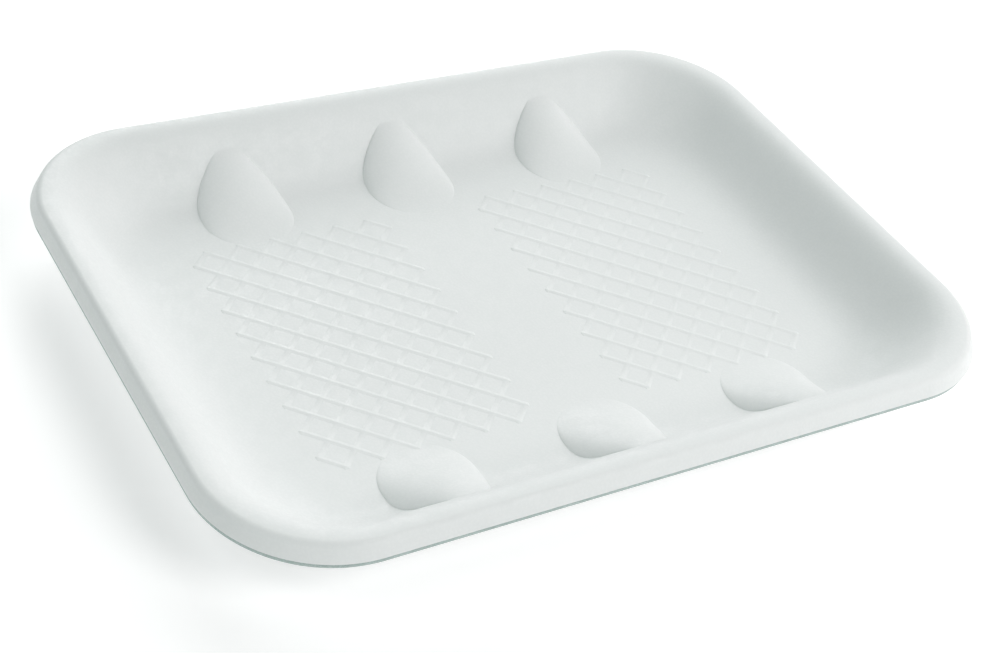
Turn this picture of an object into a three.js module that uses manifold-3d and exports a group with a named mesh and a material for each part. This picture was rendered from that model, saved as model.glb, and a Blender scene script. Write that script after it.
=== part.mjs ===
// Foam tray: one moulded sheet with a turned-down lip, sloping walls, six hollow flutes
// and two fields of crossing ridges on its floor.
// Millimetres, +Z up, length along X, the middle of the flat underside at the origin.
import * as THREE from "three";
import { mergeVertices } from "three/addons/utils/BufferGeometryUtils.js";
import Module from "manifold-3d";

const wasm = await Module();
wasm.setup();

// The sheet
const LENGTH = 222;
const WIDTH = 165;
const HEIGHT = 20;
const FOAM = 2.7;

// The lip: a trimmed edge, a bevel that climbs from it, and the round crest
const EDGE_HEIGHT = 1.4;
const EDGE_FOAM = 0.9;
const LIP_DROP = 4.4;
const LIP_ANGLE = THREE.MathUtils.degToRad(70);
const CREST_RADIUS = 1.8;
const LIP_THINNING = 12;

// The plan outline: the corner radius at the edge, and how fast it shrinks inwards
const CORNER_RADIUS = 32.8;
const CORNER_EASE = 0.55;

// The wall: one S-curve from the crest down to the floor
const WALL_RUN = 30.5;

// The flutes: half-cones that climb the long walls. Insets run from the long edge.
const FLUTE_PITCH = 50.5;
const FLUTE_HALF_WIDTH = 12.8;
const FLUTE_TOP = 13.6;
const FLUTE_APEX = 10.2;
const FLUTE_WIDEST = 28.2;
const FLUTE_FRONT = 40;
const FLUTE_SWELL = 2.7;
const FLUTE_FALL = 1.25;
const FLUTE_ARCH = 0.75;
const FLUTE_EMBED = 1;
const DENT_NARROWING = 1.8;
const DENT_CLEARANCE = 0.15;

// The ridges: two fields of slanting lines, crossing in squares
const RIDGE_SPACING = 9.54;
const RIDGE_HALF_WIDTH = 0.8;
const RIDGE_HEIGHT = 0.4;
const CROSS_RIDGE_HEIGHT = 0.28;
const RIDGE_OVERRUN = 0.7;
const FIELD_HALF_COLUMNS = 3;
const FIELD_HALF_ROWS = 4.5;
const FIELD_CENTRE = 43.3;

// How finely the curves are cut into flats
const CORNER_STEPS = 9;
const CREST_STEPS = 3;
const WALL_STEPS = 12;
const FLUTE_STEPS = 9;
const FLUTE_SIDES = 10;
const FLUTE_TIP = 0.35;

const DEPTH = HEIGHT - FOAM;
const FLAT_ENOUGH = 0.06;

// A bevel of this run, then the crest's arc, take the lip from its edge to its top.
const ARC_RUN = CREST_RADIUS * Math.sin(LIP_ANGLE);
const ARC_RISE = CREST_RADIUS * (1 - Math.cos(LIP_ANGLE));
const BEVEL_RUN = (LIP_DROP - ARC_RISE) / Math.tan(LIP_ANGLE);
const CREST_INSET = BEVEL_RUN + ARC_RUN;

// How far down the wall an inset lies: 0 at the crest, 1 at the floor.
function wallFraction(inset) {
  return THREE.MathUtils.clamp((inset - CREST_INSET) / WALL_RUN, 0, 1);
}

// Height of the wall's inner face above the floor: an S-curve, level at both ends.
function wallRise(inset) {
  const s = wallFraction(inset);
  return DEPTH * (1 - s) ** 5 * (1 + 5 * s + 15 * s * s);
}

// How steeply the wall climbs: the derivative of that S-curve.
function wallSlope(inset) {
  const s = wallFraction(inset);
  return DEPTH / WALL_RUN * 105 * s * s * (1 - s) ** 4;
}

// The upper face from the edge to the foot of the wall, as points (inset, height).
function upperProfile() {
  const points = [new THREE.Vector2(0, HEIGHT - LIP_DROP)];
  for (let k = 0; k < CREST_STEPS; k++) {
    const angle = LIP_ANGLE * (1 - k / CREST_STEPS);
    const inset = CREST_INSET - CREST_RADIUS * Math.sin(angle);
    points.push(new THREE.Vector2(inset, HEIGHT - CREST_RADIUS * (1 - Math.cos(angle))));
  }
  for (let k = 0; k <= WALL_STEPS; k++) {
    const inset = CREST_INSET + WALL_RUN * k / WALL_STEPS;
    points.push(new THREE.Vector2(inset, FOAM + wallRise(inset)));
  }
  return points;
}

// The lower face: the upper one set back by the foam's thickness, thinner at the lip.
function lowerProfile(upper) {
  const lower = [new THREE.Vector2(0, upper[0].y - EDGE_HEIGHT)];
  for (let k = 1; k < upper.length - 1; k++) {
    const along = upper[k + 1].clone().sub(upper[k - 1]).normalize();
    const blend = THREE.MathUtils.smoothstep(upper[k].x, 0, LIP_THINNING);
    const foam = THREE.MathUtils.lerp(EDGE_FOAM, FOAM, blend);
    const point = new THREE.Vector2(along.y, -along.x).multiplyScalar(foam).add(upper[k]);
    lower.push(point.setY(point.y < FLAT_ENOUGH ? 0 : point.y));
  }
  lower.push(new THREE.Vector2(upper.at(-1).x, 0));
  return lower;
}

// One closed outline: the tray's rounded oblong, drawn in by inset.
function outline(inset, height) {
  const radius = CORNER_RADIUS - CORNER_EASE * inset;
  const points = [];
  for (let corner = 0; corner < 4; corner++) {
    const sideX = corner === 0 || corner === 3 ? 1 : -1;
    const sideY = corner < 2 ? 1 : -1;
    for (let k = 0; k <= CORNER_STEPS; k++) {
      const angle = (corner + k / CORNER_STEPS) * Math.PI / 2;
      const x = sideX * (LENGTH / 2 - inset - radius) + radius * Math.cos(angle);
      const y = sideY * (WIDTH / 2 - inset - radius) + radius * Math.sin(angle);
      points.push(new THREE.Vector3(x, y, height));
    }
  }
  return points;
}

// A closed surface through a stack of rings, with a fan over the first and the last.
function closedStack(rings) {
  const count = rings[0].length;
  const first = rings.length * count;
  const centres = [rings[0], rings.at(-1)].map(middleOf);
  const positions = [...rings.flat(), ...centres].flatMap((point) => point.toArray());
  const index = [];
  for (let k = 0; k < count; k++) {
    const next = (k + 1) % count;
    index.push(first, k, next);
    for (let ring = 0; ring + 1 < rings.length; ring++) {
      const a = ring * count;
      const b = a + count;
      index.push(a + k, b + k, b + next, a + k, b + next, a + next);
    }
    index.push(first + 1, first - count + next, first - count + k);
  }
  const geometry = new THREE.BufferGeometry();
  geometry.setAttribute("position", new THREE.Float32BufferAttribute(positions, 3));
  geometry.setIndex(index);
  return geometry;
}

function middleOf(ring) {
  const sum = ring.reduce((total, point) => total.add(point), new THREE.Vector3());
  return sum.divideScalar(ring.length);
}

function sheet() {
  const upper = upperProfile();
  const profile = [...upper.toReversed(), ...lowerProfile(upper)];
  return closedStack(profile.map((point) => outline(point.x, point.y)));
}

// Half the flute's width at an inset: it swells from the apex to its widest place, and
// from there a quarter ellipse closes its front.
function fluteHalfWidth(inset) {
  const swell = Math.min((inset - FLUTE_APEX) / (FLUTE_WIDEST - FLUTE_APEX), 1);
  const close = Math.max((inset - FLUTE_WIDEST) / (FLUTE_FRONT - FLUTE_WIDEST), 0);
  return FLUTE_HALF_WIDTH * (1 - (1 - swell) ** FLUTE_SWELL) * Math.sqrt(1 - close * close);
}

// A flute as upright sections across it, each a low arch that stands on the wall. The
// dent has the same arches under the sheet's lower face, and is narrower and open below.
function fluteStack(isDent) {
  const rings = [];
  for (let k = 0; k <= FLUTE_STEPS; k++) {
    const turn = FLUTE_TIP + (Math.PI - 2 * FLUTE_TIP) * k / FLUTE_STEPS;
    const t = (1 - Math.cos(turn)) / 2;
    const inset = FLUTE_APEX + (FLUTE_FRONT - FLUTE_APEX) * t;
    const wall = wallRise(inset);
    const swell = Math.max(FLUTE_TOP * (1 - t) ** FLUTE_FALL - wall, 0.1);
    const thickness = FOAM * Math.hypot(1, wallSlope(inset)) + DENT_CLEARANCE;
    const base = FOAM + wall - (isDent ? thickness : 0);
    const foot = isDent ? -FLUTE_EMBED : base - FLUTE_EMBED;
    const halfWidth = Math.max(fluteHalfWidth(inset) - (isDent ? DENT_NARROWING : 0), 0.3);
    const ring = [];
    for (let j = 0; j <= FLUTE_SIDES; j++) {
      const v = -Math.cos(Math.PI * j / FLUTE_SIDES);
      const arch = Math.max(1 - v * v, 0) ** FLUTE_ARCH;
      ring.push(new THREE.Vector3(halfWidth * v, WIDTH / 2 - inset, base + swell * arch));
    }
    ring.push(new THREE.Vector3(halfWidth, WIDTH / 2 - inset, foot));
    ring.push(new THREE.Vector3(-halfWidth, WIDTH / 2 - inset, foot));
    rings.push(ring);
  }
  return closedStack(rings);
}

// One ridge: a low three-sided bar from start to end, sunk halfway into the floor.
function ridge(start, end, height) {
  const section = new THREE.Shape([
    new THREE.Vector2(-2 * RIDGE_HALF_WIDTH, -height),
    new THREE.Vector2(2 * RIDGE_HALF_WIDTH, -height),
    new THREE.Vector2(0, height),
  ]);
  const along = end.clone().sub(start);
  const geometry = new THREE.ExtrudeGeometry(section, { depth: along.length(), bevelEnabled: false });
  const forward = new THREE.Vector3(along.x, along.y, 0).normalize();
  const up = new THREE.Vector3(0, 0, 1);
  const across = new THREE.Vector3().crossVectors(up, forward);
  const place = new THREE.Matrix4().makeBasis(across, up, forward);
  place.setPosition(start.x, start.y, FOAM);
  return geometry.applyMatrix4(place);
}

// The ridges of one field: the lines x + slant y = c, which run just past its border.
function fieldRidges(centreX) {
  const halfX = FIELD_HALF_COLUMNS * RIDGE_SPACING;
  const halfY = FIELD_HALF_ROWS * RIDGE_SPACING;
  const lines = Math.floor(FIELD_HALF_COLUMNS + FIELD_HALF_ROWS);
  const ridges = [];
  for (const [slant, height] of [[1, RIDGE_HEIGHT], [-1, CROSS_RIDGE_HEIGHT]]) {
    for (let line = -lines; line <= lines; line++) {
      const c = line * RIDGE_SPACING;
      const x0 = Math.max(-halfX, c - halfY) - RIDGE_OVERRUN;
      const x1 = Math.min(halfX, c + halfY) + RIDGE_OVERRUN;
      const start = new THREE.Vector2(centreX + x0, slant * (c - x0));
      const end = new THREE.Vector2(centreX + x1, slant * (c - x1));
      ridges.push(ridge(start, end, height));
    }
  }
  return ridges;
}

function solid(geometry) {
  geometry.deleteAttribute("normal");
  geometry.deleteAttribute("uv");
  const merged = mergeVertices(geometry);
  const vertProperties = merged.getAttribute("position").array;
  const triVerts = new Uint32Array(merged.index.array);
  return new wasm.Manifold(new wasm.Mesh({ numProp: 3, vertProperties, triVerts }));
}

function foamTray() {
  let body = solid(sheet());
  for (const turn of [0, Math.PI]) {
    for (const place of [-1, 0, 1]) {
      const centre = place * FLUTE_PITCH;
      body = body.add(solid(fluteStack(false).translate(centre, 0, 0).rotateZ(turn)));
      body = body.subtract(solid(fluteStack(true).translate(centre, 0, 0).rotateZ(turn)));
    }
  }
  for (const bar of [...fieldRidges(-FIELD_CENTRE), ...fieldRidges(FIELD_CENTRE)]) {
    body = body.add(solid(bar));
  }
  const { vertProperties, triVerts } = body.getMesh();
  const geometry = new THREE.BufferGeometry();
  geometry.setAttribute("position", new THREE.BufferAttribute(vertProperties, 3));
  geometry.setIndex(new THREE.BufferAttribute(triVerts, 1));
  geometry.computeVertexNormals();
  return geometry;
}

const foam = new THREE.MeshStandardMaterial({ color: 0xe9ecea, roughness: 0.62, metalness: 0 });
const tray = new THREE.Mesh(foamTray(), foam);
tray.name = "tray";

const model = new THREE.Group();
model.add(tray);

export default model;
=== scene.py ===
"""A moulded foam food tray: one sheet with a turned-down lip, six hollow flutes and two
fields of crossing ridges, on a plain pale floor in soft light.

Everything is in metres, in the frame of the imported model: +Z up, length along X, the
middle of the flat underside at the origin.
"""

import bmesh
import bpy
import numpy as np
from bpy.props import FloatProperty, FloatVectorProperty, PointerProperty
from mathutils import Matrix, Vector


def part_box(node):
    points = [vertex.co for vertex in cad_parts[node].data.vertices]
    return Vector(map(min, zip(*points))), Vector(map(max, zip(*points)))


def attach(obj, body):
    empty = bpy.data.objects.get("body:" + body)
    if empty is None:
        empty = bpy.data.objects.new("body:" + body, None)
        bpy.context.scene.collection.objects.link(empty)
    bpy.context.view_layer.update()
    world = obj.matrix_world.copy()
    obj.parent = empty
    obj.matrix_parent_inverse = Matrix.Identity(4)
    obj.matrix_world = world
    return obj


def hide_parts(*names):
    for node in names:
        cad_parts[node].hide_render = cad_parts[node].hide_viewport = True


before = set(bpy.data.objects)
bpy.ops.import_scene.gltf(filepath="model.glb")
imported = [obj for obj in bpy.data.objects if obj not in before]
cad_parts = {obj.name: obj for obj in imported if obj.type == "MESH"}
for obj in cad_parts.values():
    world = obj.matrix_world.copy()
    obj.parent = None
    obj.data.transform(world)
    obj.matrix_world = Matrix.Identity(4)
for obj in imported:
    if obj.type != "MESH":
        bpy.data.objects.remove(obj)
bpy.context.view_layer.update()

bl_info = {
    "name": "Foam food tray",
    "version": (1, 0, 0),
    "blender": (4, 5, 0),
    "location": "View3D > Sidebar > Foam tray",
    "description": "Builds a moulded foam food tray, its floor, light and camera",
    "category": "Add Mesh",
}

MM = 0.001

# The tray's outer size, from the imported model
TRAY_LOW, TRAY_HIGH = (np.array(corner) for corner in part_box("tray"))
LENGTH, WIDTH, HEIGHT = TRAY_HIGH - TRAY_LOW

# The sheet and its lip
FOAM = 2.7 * MM
EDGE_HEIGHT = 1.4 * MM
EDGE_FOAM = 0.9 * MM
EDGE_TUCK = 0.35 * MM
LIP_DROP = 4.4 * MM
LIP_ANGLE = np.radians(70)
CREST_RADIUS = 1.8 * MM
LIP_THINNING = 12.0 * MM

# The plan outline and the wall
CORNER_RADIUS = 32.8 * MM
CORNER_EASE = 0.55
WALL_RUN = 30.5 * MM

# The flutes on the long walls, with insets from the long edge
FLUTE_PITCH = 50.5 * MM
FLUTE_HALF_WIDTH = 12.8 * MM
FLUTE_TOP_HALF_WIDTH = 0.8 * MM
FLUTE_TOP = 12.0 * MM
FLUTE_APEX = 10.4 * MM
FLUTE_WIDEST = 28.2 * MM
FLUTE_FRONT = 41.0 * MM
FLUTE_EMBED = 1.0 * MM
FLUTE_LEAST_SWELL = 0.02 * MM
FLUTE_LEAST_HALF_WIDTH = 0.1 * MM
DENT_NARROWING = 1.8 * MM
DENT_CLEARANCE = 0.1 * MM

# The flutes' curves: the powers of the widening, the ridge line and the arch, the ridge
# line's fullness, the share of the length in which the top leaves the wall, and the
# angle that the stations keep from both tips
FLUTE_WIDENING = 2.7
FLUTE_FALL = 2.0
FLUTE_ARCH = 0.7
FLUTE_BELLY = 1.0
FLUTE_MERGE = 0.06
FLUTE_TIP_ANGLE = 0.06

# The two fields of ridges on the floor, with how far a ridge's foot and its two sides
# are sunk, as shares of its height, and the angle at which its round tips start
RIDGE_SPACING = 9.54 * MM
RIDGE_HALF_WIDTH = 1.0 * MM
RIDGE_OVERRUN = 0.7 * MM
RIDGE_SINK = 2.0
RIDGE_SIDE_SINK = 0.2
RIDGE_TIP_ANGLE = 0.15
FIELD_HALF_COLUMNS = 3
FIELD_HALF_ROWS = 4.5
FIELD_CENTRE = 43.3 * MM

# Worked out from the sizes above
DEPTH = HEIGHT - FOAM
ARC_RUN = CREST_RADIUS * np.sin(LIP_ANGLE)
ARC_RISE = CREST_RADIUS * (1 - np.cos(LIP_ANGLE))
BEVEL_RUN = (LIP_DROP - ARC_RISE) / np.tan(LIP_ANGLE)
CREST_INSET = BEVEL_RUN + ARC_RUN
EDGE_TOP = HEIGHT - LIP_DROP

# What counts as on the ground, as level, as upright, as one point and as a crease
FLAT_ENOUGH = 0.05 * MM
LEVEL_ENOUGH = 1e-6
UPRIGHT_ENOUGH = 0.4
WELD = 0.001 * MM
CREASE_ANGLE = np.radians(24)

# The foam's finish, with where the noise and the distances of the cells start to show
# and where they show fully
CLOUDS_PER_METRE = 260
CLOUD_DETAIL = 2.0
CLOUD_RANGE = (0.35, 0.65)
CELL_RANGE = (0.15, 0.75)
FOAM_GLOSS = 0.5
FOAM_GLOW = 0.35
FOAM_GLOW_DEPTH = 1.2 * MM

# The floor and the camera, whose sensor is in millimetres
FLOOR_REACH = 3.0
LOOK_AT = Vector((-7.33, -8.88, 2.8)) * MM
SENSOR_WIDTH = 36

# Soft square lamps, each with its azimuth (0 is in front of the near long side, 90 past
# the right end) and elevation in degrees, its power in watts and its colour
LAMP_SIZE = 0.5
LAMP_DISTANCE = 1.0
LAMPS = {
    "front_right": (30, 40, 5.3, (1.0, 0.965, 0.97)),
    "right": (92, 26, 2.7, (1.0, 0.95, 0.965)),
    "back_right": (165, 30, 3.7, (0.99, 1.0, 0.995)),
    "back_right_low": (155, 10, 2.2, (1.0, 0.92, 0.95)),
    "left_high": (270, 50, 1.8, (1.0, 1.0, 1.0)),
    "left_low": (270, 12, 0.7, (1.0, 1.0, 1.0)),
}

# How finely the curves are cut
CORNER_STEPS = 36
LONG_SIDE_STEPS = 40
SHORT_SIDE_STEPS = 28
BEVEL_STEPS = 6
CREST_STEPS = 12
WALL_STEPS = 36
FLUTE_STATIONS = 44
FLUTE_ACROSS = 25
RIDGE_ACROSS = 9
RIDGE_TIP_STEPS = 5


def smoothstep(value, low, high):
    """0 below low, 1 above high, and 3t^2 - 2t^3 between them."""
    t = np.clip((value - low) / (high - low), 0, 1)
    return t * t * (3 - 2 * t)


def wall_fraction(inset):
    """How far down the wall an inset lies: 0 at the crest, 1 at the floor."""
    return np.clip((inset - CREST_INSET) / WALL_RUN, 0, 1)


def wall_rise(inset):
    """Height of the wall's inner face over the floor: (1 - s)^5 (1 + 5s + 15s^2) of the
    depth, level at both ends."""
    s = wall_fraction(inset)
    return DEPTH * (1 - s) ** 5 * (1 + 5 * s + 15 * s * s)


def wall_slope(inset):
    """How steeply the wall climbs to the crest, the slope of its rise: its depth over its
    run, times 105 s^2 (1 - s)^4."""
    s = wall_fraction(inset)
    return DEPTH / WALL_RUN * 105 * s * s * (1 - s) ** 4


def upper_profile():
    """Insets and heights of the upper face, from the edge to the foot of the wall: a
    straight bevel, an arc of the crest's radius, then the wall's S-curve."""
    bevel = np.linspace(0, 1, BEVEL_STEPS, endpoint=False)
    angle = LIP_ANGLE * np.linspace(1, 0, CREST_STEPS, endpoint=False)
    wall = CREST_INSET + WALL_RUN * np.linspace(0, 1, WALL_STEPS)
    inset = np.concatenate([
        BEVEL_RUN * bevel,
        CREST_INSET - CREST_RADIUS * np.sin(angle),
        wall,
    ])
    height = np.concatenate([
        EDGE_TOP + (LIP_DROP - ARC_RISE) * bevel,
        HEIGHT - CREST_RADIUS * (1 - np.cos(angle)),
        FOAM + wall_rise(wall),
    ])
    return inset, height


def lower_profile(inset, height):
    """The lower face: the upper one moved along its normal by the foam's thickness,
    which thins towards the trimmed edge, and flat on the ground under the floor."""
    run, rise = np.gradient(inset), np.gradient(height)
    length = np.hypot(run, rise)
    blend = smoothstep(inset, 0, LIP_THINNING)
    foam = EDGE_FOAM + (FOAM - EDGE_FOAM) * blend
    low_inset = inset + foam * rise / length
    low_height = height - foam * run / length
    low_inset[0], low_height[0] = EDGE_TUCK, height[0] - EDGE_HEIGHT
    low_inset[-1], low_height[-1] = inset[-1], 0
    low_inset = np.maximum.accumulate(low_inset)
    return low_inset, np.where(low_height < FLAT_ENOUGH, 0, low_height)


def outline(inset, height):
    """Rounded oblongs drawn in by each inset: corner arcs whose radius shrinks with the
    inset, and straight sides between them. Returns one ring of points per inset."""
    rings = []
    radius = (CORNER_RADIUS - CORNER_EASE * inset)[:, None]
    for corner, side_x, side_y in ((0, 1, 1), (1, -1, 1), (2, -1, -1), (3, 1, -1)):
        angle = np.pi / 2 * (corner + np.linspace(0, 1, CORNER_STEPS))[None]
        x = side_x * (LENGTH / 2 - inset[:, None] - radius) + radius * np.cos(angle)
        y = side_y * (WIDTH / 2 - inset[:, None] - radius) + radius * np.sin(angle)
        rings.append(np.stack([x, y], -1))
    path = []
    for corner in range(4):
        steps = LONG_SIDE_STEPS if corner % 2 == 0 else SHORT_SIDE_STEPS
        start, end = rings[corner][:, -1:], rings[(corner + 1) % 4][:, :1]
        t = np.linspace(0, 1, steps + 1)[1:-1][None, :, None]
        path += [rings[corner], start + (end - start) * t]
    plan = np.concatenate(path, 1)
    level = np.broadcast_to(height[:, None, None], plan.shape[:2] + (1,))
    return np.concatenate([plan, level], -1)


def closed_stack(rings):
    """Joins rings of points (ring, point, xyz) with quads, and closes the first and the
    last with a fan of triangles. Returns vertices, quads and triangles."""
    count, around = rings.shape[:2]
    here = np.arange(around)
    after = np.roll(here, -1)
    base = np.arange(count - 1)[:, None] * around
    below = base + around
    quads = np.stack([base + here, below + here, below + after, base + after], -1)
    last_ring = (count - 1) * around
    first_centre, last_centre = count * around, count * around + 1
    first_fan = np.stack([np.full(around, first_centre), here, after], -1)
    last_fan = np.stack([np.full(around, last_centre), last_ring + after, last_ring + here], -1)
    points = np.concatenate([rings.reshape(-1, 3), rings[[0, -1]].mean(1)])
    return points, quads.reshape(-1, 4), np.concatenate([first_fan, last_fan])


def sheet_surface():
    """The plain tray without flutes and ridges: the rounded oblong swept through the
    section, from the floor over the lip and back under it."""
    inset, height = upper_profile()
    low_inset, low_height = lower_profile(inset, height)
    loop_inset = np.concatenate([inset[::-1], low_inset])
    loop_height = np.concatenate([height[::-1], low_height])
    return closed_stack(outline(loop_inset, loop_height))


def flute_half_width(inset):
    """Half the flute's width: from its narrow top it widens as 1 - (1 - t)^2.7, and from
    its widest place a quarter ellipse closes its front."""
    widening = np.clip((inset - FLUTE_APEX) / (FLUTE_WIDEST - FLUTE_APEX), 0, 1)
    closing = np.clip((inset - FLUTE_WIDEST) / (FLUTE_FRONT - FLUTE_WIDEST), 0, 1)
    missing = (FLUTE_HALF_WIDTH - FLUTE_TOP_HALF_WIDTH) * (1 - widening) ** FLUTE_WIDENING
    return (FLUTE_HALF_WIDTH - missing) * np.sqrt(1 - closing * closing)


def flute_surface(centre, side, is_dent):
    """One flute as upright sections across it. Its ridge line falls as (1 - t)^2 (1 + t)
    and lands level on the floor, its top grows softly out of the wall, and each section
    is a low arch, (1 - v^2)^0.7, that stands on the wall. The dent has the same arches
    under the sheet's lower face, narrower and open below."""
    turn = np.linspace(FLUTE_TIP_ANGLE, np.pi - FLUTE_TIP_ANGLE, FLUTE_STATIONS)
    t = (1 - np.cos(turn)) / 2
    inset = FLUTE_APEX + (FLUTE_FRONT - FLUTE_APEX) * t
    wall = wall_rise(inset)
    crown = FLUTE_TOP * (1 - t) ** FLUTE_FALL * (1 + FLUTE_BELLY * t)
    swell = (crown - wall) * smoothstep(t, 0, FLUTE_MERGE)
    swell = np.maximum(swell, FLUTE_LEAST_SWELL)
    base = FOAM + wall
    foot = base - FLUTE_EMBED
    half_width = flute_half_width(inset)
    if is_dent:
        base = base - FOAM * np.hypot(1, wall_slope(inset)) - DENT_CLEARANCE
        foot = np.full_like(base, -FLUTE_EMBED)
        half_width = half_width - DENT_NARROWING
    half_width = np.maximum(half_width, FLUTE_LEAST_HALF_WIDTH)
    v = -np.cos(np.linspace(0, np.pi, FLUTE_ACROSS))
    arch = np.clip(1 - v * v, 0, 1) ** FLUTE_ARCH
    top = base[:, None] + swell[:, None] * arch
    x = half_width[:, None] * np.concatenate([v, v[::-1]])
    z = np.concatenate([top, np.broadcast_to(foot[:, None], top.shape)], 1)
    y = np.broadcast_to((WIDTH / 2 - inset)[:, None], x.shape)
    return closed_stack(np.stack([side * (x + centre), side * y, z], -1))


def flutes(is_dent):
    """The six flutes, or the six dents behind them: three on each long wall."""
    places = (-FLUTE_PITCH, 0, FLUTE_PITCH)
    return joined([flute_surface(place, side, is_dent) for side in (1, -1) for place in places])


def joined(parts):
    """One set of vertices, quads and triangles out of many: each part's faces count its
    vertices from where they start in the set."""
    points, quads, triangles = zip(*parts)
    starts = np.cumsum([0] + [len(each) for each in points])
    return (
        np.concatenate(points),
        np.concatenate([faces + start for faces, start in zip(quads, starts)]),
        np.concatenate([faces + start for faces, start in zip(triangles, starts)]),
    )


def ridge_surface(start, end, height):
    """One ridge: the low bell cos^2 of its width, carried from start to end, sunk in
    the floor, and drawn in to a round tip at both ends."""
    along = end - start
    length = np.hypot(*along)
    forward = along / length
    across = np.array([-forward[1], forward[0]])
    turn = np.linspace(RIDGE_TIP_ANGLE, np.pi / 2, RIDGE_TIP_STEPS)
    tip = np.sin(turn)
    reach = RIDGE_HALF_WIDTH * (1 - np.cos(turn))
    travel = np.concatenate([reach, length - reach[::-1]])
    size = np.concatenate([tip, tip[::-1]])
    v = np.linspace(-1, 1, RIDGE_ACROSS)
    bell = np.cos(v * np.pi / 2) ** 2
    middle = start[None] + forward[None] * travel[:, None]
    plan = middle[:, None] + across * (size[:, None] * v * RIDGE_HALF_WIDTH)[..., None]
    top = FOAM + height * size[:, None] * bell
    plan = np.concatenate([plan, plan[:, ::-1]], 1)
    z = np.concatenate([top, np.full_like(top, FOAM - RIDGE_SINK * height)], 1)
    z[:, [0, RIDGE_ACROSS - 1]] -= RIDGE_SIDE_SINK * height
    return closed_stack(np.concatenate([plan, z[..., None]], -1))


def ridge_lines(slant, height):
    """The ridges of one slant in both fields, on the lines x + slant y = c at even steps
    of c, each cut off a little past the field's sides."""
    half_x = FIELD_HALF_COLUMNS * RIDGE_SPACING
    half_y = FIELD_HALF_ROWS * RIDGE_SPACING
    count = int(FIELD_HALF_COLUMNS + FIELD_HALF_ROWS)
    parts = []
    for centre in (-FIELD_CENTRE, FIELD_CENTRE):
        for line in range(-count, count + 1):
            c = line * RIDGE_SPACING
            x0 = max(-half_x, c - half_y) - RIDGE_OVERRUN
            x1 = min(half_x, c + half_y) + RIDGE_OVERRUN
            start = np.array([centre + x0, slant * (c - x0)])
            end = np.array([centre + x1, slant * (c - x1)])
            parts.append(ridge_surface(start, end, height))
    return joined(parts)


def mesh_from(name, surface):
    """A mesh of the vertices, quads and triangles."""
    points, quads, triangles = surface
    mesh = bpy.data.meshes.new(name)
    mesh.vertices.add(len(points))
    mesh.vertices.foreach_set("co", points.astype(np.float32).ravel())
    corners = np.concatenate([quads.ravel(), triangles.ravel()])
    mesh.loops.add(len(corners))
    mesh.loops.foreach_set("vertex_index", corners.astype(np.int32))
    sizes = np.concatenate([np.full(len(quads), 4), np.full(len(triangles), 3)])
    mesh.polygons.add(len(sizes))
    mesh.polygons.foreach_set("loop_start", (np.cumsum(sizes) - sizes).astype(np.int32))
    mesh.update(calc_edges=True)
    mesh.validate()
    return mesh


def object_of(mesh):
    """An object that holds the mesh, linked to the scene."""
    piece = bpy.data.objects.new(mesh.name, mesh)
    bpy.context.scene.collection.objects.link(piece)
    return piece


def combine(body, tool, operation):
    """Joins the tool to the body or cuts it out, and deletes the tool."""
    modifier = body.modifiers.new("combine", "BOOLEAN")
    modifier.object = tool
    modifier.operation = operation
    modifier.solver = "MANIFOLD"
    depsgraph = bpy.context.evaluated_depsgraph_get()
    result = bpy.data.meshes.new_from_object(body.evaluated_get(depsgraph))
    body.modifiers.clear()
    old = body.data
    body.data = result
    result.name = body.name
    bpy.data.meshes.remove(old)
    bpy.data.objects.remove(tool, do_unlink=True)
    if not result.polygons:
        raise RuntimeError("the tray's surfaces did not combine")


def weld(mesh):
    """Merges points closer than a micrometre, which the joins leave where surfaces meet,
    and splits the faces into triangles, so that the mesh is one closed shell."""
    work = bmesh.new()
    work.from_mesh(mesh)
    bmesh.ops.remove_doubles(work, verts=work.verts, dist=WELD)
    bmesh.ops.triangulate(work, faces=work.faces)
    work.to_mesh(mesh)
    work.free()


def finish_faces(mesh):
    """Smooth faces with crisp creases. The flat floor and underside stay flat. The second
    material, whose darker colours are partly painted shade, goes to the trimmed edge: the
    upright faces in its band of heights that lie outside the tray's outline drawn in by the
    edge's tuck."""
    count = len(mesh.polygons)
    centre = np.empty(3 * count, np.float32)
    normal = np.empty(3 * count, np.float32)
    mesh.polygons.foreach_get("center", centre)
    mesh.polygons.foreach_get("normal", normal)
    centre, normal = centre.reshape(-1, 3), normal.reshape(-1, 3)
    # The creases come first, because marking them makes every face smooth
    mesh.set_sharp_from_angle(angle=CREASE_ANGLE)
    level = np.abs(normal[:, 2]) > 1 - LEVEL_ENOUGH
    mesh.polygons.foreach_set("use_smooth", ~level)
    upright = np.abs(normal[:, 2]) < UPRIGHT_ENOUGH
    banded = (centre[:, 2] < EDGE_TOP) & (centre[:, 2] > EDGE_TOP - EDGE_HEIGHT)
    corner_x = np.abs(centre[:, 0]) - (LENGTH / 2 - CORNER_RADIUS)
    corner_y = np.abs(centre[:, 1]) - (WIDTH / 2 - CORNER_RADIUS)
    outward = np.hypot(np.maximum(corner_x, 0), np.maximum(corner_y, 0))
    rim = outward > CORNER_RADIUS - EDGE_TUCK
    mesh.polygons.foreach_set("material_index", (upright & banded & rim).astype(np.int32))
    mesh.update()


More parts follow.
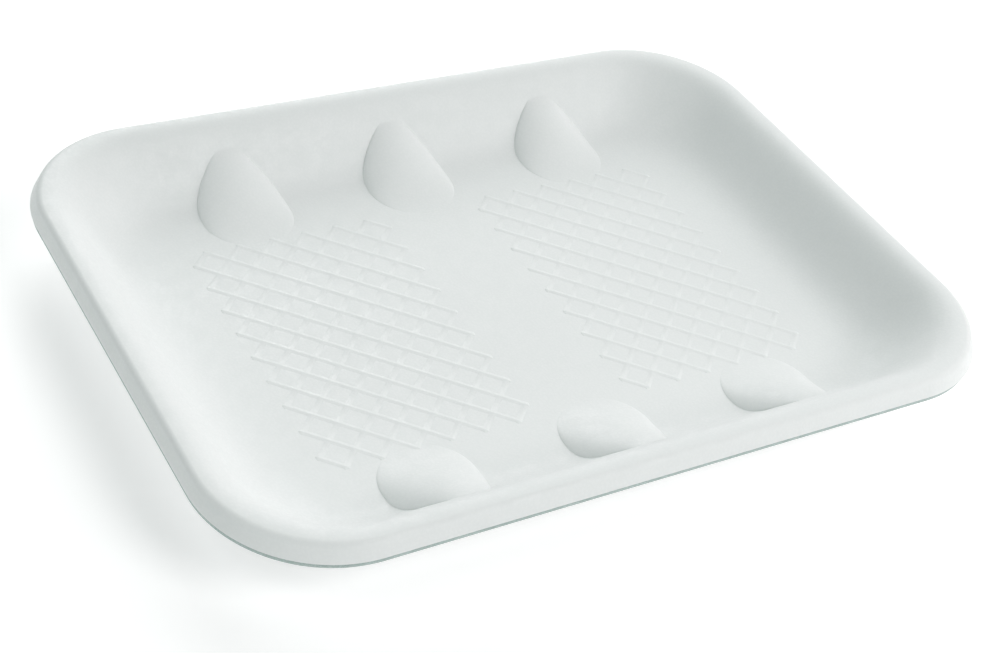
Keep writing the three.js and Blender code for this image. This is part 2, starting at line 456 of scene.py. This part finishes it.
class FoamTraySettings(bpy.types.PropertyGroup):
    """The sizes and colours of the tray that a user would change."""
    ridge_height: FloatProperty(
        name="Ridge height",
        description="How far the ridges of the first slant stand out of the floor",
        default=0.22 * MM, min=0.0, unit="LENGTH", subtype="DISTANCE")
    cross_ridge_height: FloatProperty(
        name="Cross ridge height",
        description="How far the ridges that cross them stand out of the floor",
        default=0.15 * MM, min=0.0, unit="LENGTH", subtype="DISTANCE")
    foam_colour: FloatVectorProperty(
        name="Foam colour",
        description="Colour of the tray's smooth skin",
        default=(0.79, 0.81, 0.805), min=0.0, max=1.0, size=3, subtype="COLOR")
    shade_colour: FloatVectorProperty(
        name="Thin foam colour",
        description="Colour of the skin between cells and where the foam is thinner",
        default=(0.75, 0.775, 0.77), min=0.0, max=1.0, size=3, subtype="COLOR")
    # The trimmed edge's colour and the colour of its pits are darker than the skin, partly for
    # the open cells of the cut and partly as painted shade on the edge.
    shaded_edge_colour: FloatVectorProperty(
        name="Cut edge colour with painted shade",
        description="Colour of the trimmed edge",
        default=(0.48, 0.56, 0.54), min=0.0, max=1.0, size=3, subtype="COLOR")
    shaded_pit_colour: FloatVectorProperty(
        name="Cut edge pit colour with painted shade",
        description="Colour of the pits between cells in the trimmed edge",
        default=(0.34, 0.42, 0.40), min=0.0, max=1.0, size=3, subtype="COLOR")


class StageSettings(bpy.types.PropertyGroup):
    """The floor, the lights and the camera."""
    floor_colour: FloatVectorProperty(
        name="Floor colour",
        description="Colour of the plain floor",
        default=(0.8, 0.8, 0.8), min=0.0, max=1.0, size=3, subtype="COLOR")
    floor_glow: FloatProperty(
        name="Floor glow",
        description="Light of the floor's own, which keeps the shadow on it faint",
        default=0.35, min=0.0)
    room_colour: FloatVectorProperty(
        name="Room colour",
        description="Colour of the light from all around",
        default=(0.84, 1.0, 0.96), min=0.0, max=1.0, size=3, subtype="COLOR")
    room_light: FloatProperty(
        name="Room light",
        description="Strength of the light from all around",
        default=0.2, min=0.0)
    azimuth: FloatProperty(
        name="Camera azimuth",
        description="Turn of the camera around the tray; zero looks along +Y",
        default=np.radians(-36.762), unit="ROTATION", subtype="ANGLE")
    elevation: FloatProperty(
        name="Camera elevation",
        description="Height of the camera over the floor, as an angle",
        default=np.radians(38.849), unit="ROTATION", subtype="ANGLE")
    roll: FloatProperty(
        name="Camera roll",
        description="Tilt of the camera about its own line of sight",
        default=np.radians(11.812), unit="ROTATION", subtype="ANGLE")
    distance: FloatProperty(
        name="Camera distance",
        description="From the camera to the point that it looks at",
        default=482.85 * MM, min=0.01, unit="LENGTH", subtype="DISTANCE")
    focal_length: FloatProperty(
        name="Focal length",
        description="For a sensor 36 mm wide, in millimetres",
        default=66.8, min=1.0)


class FOAMTRAY_OT_tray(bpy.types.Operator):
    """Build the foam tray"""
    bl_idname = "foam_tray.build_tray"
    bl_label = "Foam tray"

    def execute(self, context):
        look = context.scene.foam_tray
        tray = object_of(mesh_from("foam_tray", sheet_surface()))
        combine(tray, object_of(mesh_from("flutes", flutes(is_dent=False))), "UNION")
        combine(tray, object_of(mesh_from("dents", flutes(is_dent=True))), "DIFFERENCE")
        for slant, height in ((1, look.ridge_height), (-1, look.cross_ridge_height)):
            lines = object_of(mesh_from("ridges", ridge_lines(slant, height)))
            combine(tray, lines, "UNION")
        weld(tray.data)
        tray.data.materials.clear()
        tray.data.materials.append(foam_material(
            "foam_skin", look.foam_colour, look.shade_colour, cloud_depth=0.12, cell_depth=0.3,
            cells_per_metre=1300, roughness=0.38, relief=0.02 * MM))
        # The trimmed edge's finish: open cells, with both colours darkened partly as painted
        # shade on the edge.
        tray.data.materials.append(foam_material(
            "foam_cut_edge", look.shaded_edge_colour, look.shaded_pit_colour, cloud_depth=0.3, cell_depth=0.7,
            cells_per_metre=2200, roughness=0.65, relief=0.12 * MM))
        finish_faces(tray.data)
        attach(tray, "root")
        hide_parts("tray")
        return {"FINISHED"}


def add_node(tree, kind, place, **values):
    """A shader node at a place in the editor, with its own settings by name."""
    node = tree.nodes.new(kind)
    node.location = place
    for name, value in values.items():
        setattr(node, name, value)
    return node


def add_mask(tree, place, limits):
    """A node that turns values into a mask: 0 up to the first limit, 1 from the second,
    and 3t^2 - 2t^3 between them."""
    node = add_node(tree, "ShaderNodeMapRange", place, interpolation_type="SMOOTHSTEP")
    node.inputs["From Min"].default_value, node.inputs["From Max"].default_value = limits
    return node


def foam_texture():
    """The look of moulded foam as a group: soft clouds of denser and thinner foam, and
    closed cells that press through the skin. The clouds are noise with two finer octaves,
    the cells are the distances of a Voronoi pattern, and both are read in the tray's
    frame. Their sum turns the skin's colour to the shade's, roughens the surface and
    sinks it."""
    group = bpy.data.node_groups.get("foam_texture")
    if group:
        return group
    group = bpy.data.node_groups.new("foam_texture", "ShaderNodeTree")
    for name, kind, value in (
            ("Skin", "NodeSocketColor", (0.8, 0.8, 0.8, 1)),
            ("Shade", "NodeSocketColor", (0.6, 0.6, 0.6, 1)),
            ("Cloud Depth", "NodeSocketFloat", 0.3),
            ("Cell Depth", "NodeSocketFloat", 0.2),
            ("Cells Per Metre", "NodeSocketFloat", 1200.0),
            ("Roughness", "NodeSocketFloat", 0.5)):
        group.interface.new_socket(name, in_out="INPUT", socket_type=kind).default_value = value
    for name, kind in (
            ("Colour", "NodeSocketColor"),
            ("Roughness", "NodeSocketFloat"),
            ("Height", "NodeSocketFloat")):
        group.interface.new_socket(name, in_out="OUTPUT", socket_type=kind)
    link = group.links.new
    given = add_node(group, "NodeGroupInput", (-1200, 0))
    result = add_node(group, "NodeGroupOutput", (800, 0))
    place = add_node(group, "ShaderNodeTexCoord", (-1200, 300))
    clouds = add_node(group, "ShaderNodeTexNoise", (-900, 300))
    clouds.inputs["Scale"].default_value = CLOUDS_PER_METRE
    clouds.inputs["Detail"].default_value = CLOUD_DETAIL
    cells = add_node(group, "ShaderNodeTexVoronoi", (-900, 0))
    cloud_mask = add_mask(group, (-600, 300), CLOUD_RANGE)
    cell_mask = add_mask(group, (-600, 0), CELL_RANGE)
    cloud_part = add_node(group, "ShaderNodeMath", (-300, 300), operation="MULTIPLY")
    cell_part = add_node(group, "ShaderNodeMath", (-300, 0), operation="MULTIPLY")
    total = add_node(group, "ShaderNodeMath", (0, 150), operation="ADD")
    colour = add_node(group, "ShaderNodeMix", (300, 300), data_type="RGBA")
    rough = add_node(group, "ShaderNodeMath", (300, 0), operation="ADD")
    height = add_node(group, "ShaderNodeMath", (300, -200), operation="SUBTRACT")
    height.inputs[0].default_value = 1.0
    link(place.outputs["Object"], clouds.inputs["Vector"])
    link(place.outputs["Object"], cells.inputs["Vector"])
    link(given.outputs["Cells Per Metre"], cells.inputs["Scale"])
    link(clouds.outputs["Fac"], cloud_mask.inputs["Value"])
    link(cells.outputs["Distance"], cell_mask.inputs["Value"])
    link(cloud_mask.outputs["Result"], cloud_part.inputs[0])
    link(given.outputs["Cloud Depth"], cloud_part.inputs[1])
    link(cell_mask.outputs["Result"], cell_part.inputs[0])
    link(given.outputs["Cell Depth"], cell_part.inputs[1])
    link(cloud_part.outputs[0], total.inputs[0])
    link(cell_part.outputs[0], total.inputs[1])
    link(total.outputs[0], colour.inputs["Factor"])
    link(given.outputs["Skin"], colour.inputs["A"])
    link(given.outputs["Shade"], colour.inputs["B"])
    link(total.outputs[0], rough.inputs[0])
    link(given.outputs["Roughness"], rough.inputs[1])
    link(total.outputs[0], height.inputs[1])
    link(colour.outputs["Result"], result.inputs["Colour"])
    link(rough.outputs[0], result.inputs["Roughness"])
    link(height.outputs[0], result.inputs["Height"])
    return group


def foam_material(name, skin, shade, cloud_depth, cell_depth, cells_per_metre, roughness, relief):
    """Foam that lets a little light in under its surface, with the clouds and cells as
    fine dips whose depth is set by the relief."""
    material = bpy.data.materials.new(name)
    material.use_nodes = True
    tree = material.node_tree
    shader = tree.nodes["Principled BSDF"]
    texture = add_node(tree, "ShaderNodeGroup", (-600, 200), node_tree=foam_texture())
    bump = add_node(tree, "ShaderNodeBump", (-300, -100))
    texture.inputs["Skin"].default_value = (*skin, 1)
    texture.inputs["Shade"].default_value = (*shade, 1)
    texture.inputs["Cloud Depth"].default_value = cloud_depth
    texture.inputs["Cell Depth"].default_value = cell_depth
    texture.inputs["Cells Per Metre"].default_value = cells_per_metre
    texture.inputs["Roughness"].default_value = roughness
    bump.inputs["Distance"].default_value = relief
    shader.inputs["Specular IOR Level"].default_value = FOAM_GLOSS
    shader.inputs["Subsurface Weight"].default_value = FOAM_GLOW
    shader.inputs["Subsurface Radius"].default_value = (1.0, 1.0, 1.0)
    shader.inputs["Subsurface Scale"].default_value = FOAM_GLOW_DEPTH
    tree.links.new(texture.outputs["Colour"], shader.inputs["Base Color"])
    tree.links.new(texture.outputs["Roughness"], shader.inputs["Roughness"])
    tree.links.new(texture.outputs["Height"], bump.inputs["Height"])
    tree.links.new(bump.outputs["Normal"], shader.inputs["Normal"])
    return material


def direction(azimuth, elevation):
    """The unit vector towards a place round the tray: azimuth 0 is along -Y and grows
    towards +X, and elevation grows towards +Z."""
    level = np.cos(elevation)
    return Vector((np.sin(azimuth) * level, -np.cos(azimuth) * level, np.sin(elevation)))


def add_floor(stage):
    """The plain floor: one large square at the height of the underside, with a little
    light of its own."""
    mesh = bpy.data.meshes.new("floor")
    signs = ((-1, -1), (1, -1), (1, 1), (-1, 1))
    corners = [(x * FLOOR_REACH, y * FLOOR_REACH, 0) for x, y in signs]
    mesh.from_pydata(corners, [], [(0, 1, 2, 3)])
    floor = object_of(mesh)
    material = bpy.data.materials.new("pale_floor")
    material.use_nodes = True
    shader = material.node_tree.nodes["Principled BSDF"]
    shader.inputs["Base Color"].default_value = (*stage.floor_colour, 1)
    shader.inputs["Emission Color"].default_value = (1, 1, 1, 1)
    shader.inputs["Emission Strength"].default_value = stage.floor_glow
    mesh.materials.append(material)


def add_camera(stage):
    """The camera, which faces its aim from the set distance and is tilted about its own
    line of sight by the roll."""
    back = direction(stage.azimuth, stage.elevation)
    level = Vector((0, 0, 1)).cross(back).normalized()
    upright = back.cross(level)
    right = level * np.cos(stage.roll) + upright * np.sin(stage.roll)
    place = Matrix((right, back.cross(right), back)).transposed().to_4x4()
    place.translation = LOOK_AT + back * stage.distance
    data = bpy.data.cameras.new("camera")
    data.lens = stage.focal_length
    data.sensor_width = SENSOR_WIDTH
    camera = bpy.data.objects.new("camera", data)
    bpy.context.scene.collection.objects.link(camera)
    camera.matrix_world = place
    bpy.context.scene.camera = camera


def add_room(stage):
    """Even light from all around."""
    world = bpy.data.worlds.new("studio")
    world.use_nodes = True
    background = world.node_tree.nodes["Background"]
    background.inputs["Color"].default_value = (*stage.room_colour, 1)
    background.inputs["Strength"].default_value = stage.room_light
    bpy.context.scene.world = world


def add_lamp(name, azimuth, elevation, power, colour):
    """A soft square lamp that faces the middle of the tray."""
    data = bpy.data.lights.new(name, "AREA")
    data.energy = power
    data.size = LAMP_SIZE
    data.color = colour
    lamp = bpy.data.objects.new(name, data)
    bpy.context.scene.collection.objects.link(lamp)
    away = direction(np.radians(azimuth), np.radians(elevation))
    turned = away.to_track_quat("Z", "Y").to_matrix().to_4x4()
    lamp.matrix_world = Matrix.Translation(away * LAMP_DISTANCE) @ turned


class FOAMTRAY_OT_stage(bpy.types.Operator):
    """Build the floor, the lights and the camera"""
    bl_idname = "foam_tray.build_stage"
    bl_label = "Stage"

    def execute(self, context):
        stage = context.scene.foam_tray_stage
        add_floor(stage)
        add_camera(stage)
        add_room(stage)
        for name, lamp in LAMPS.items():
            add_lamp(name, *lamp)
        context.scene.view_settings.view_transform = "Standard"
        return {"FINISHED"}


class FOAMTRAY_PT_panel(bpy.types.Panel):
    """Lists the pieces and their settings"""
    bl_idname = "FOAMTRAY_PT_panel"
    bl_label = "Foam tray"
    bl_space_type = "VIEW_3D"
    bl_region_type = "UI"
    bl_category = "Foam tray"

    def draw(self, context):
        layout = self.layout
        for settings in (context.scene.foam_tray, context.scene.foam_tray_stage):
            for name in type(settings).__annotations__:
                layout.prop(settings, name)
        for operator in OPERATORS:
            layout.operator(operator.bl_idname)


OPERATORS = (FOAMTRAY_OT_tray, FOAMTRAY_OT_stage)
CLASSES = (FoamTraySettings, StageSettings, *OPERATORS, FOAMTRAY_PT_panel)


def register():
    for each in CLASSES:
        bpy.utils.register_class(each)
    bpy.types.Scene.foam_tray = PointerProperty(type=FoamTraySettings)
    bpy.types.Scene.foam_tray_stage = PointerProperty(type=StageSettings)


def unregister():
    del bpy.types.Scene.foam_tray_stage
    del bpy.types.Scene.foam_tray
    for each in reversed(CLASSES):
        bpy.utils.unregister_class(each)


def main():
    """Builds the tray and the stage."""
    register()
    bpy.ops.foam_tray.build_tray()
    bpy.ops.foam_tray.build_stage()


if __name__ == "__main__":
    main()
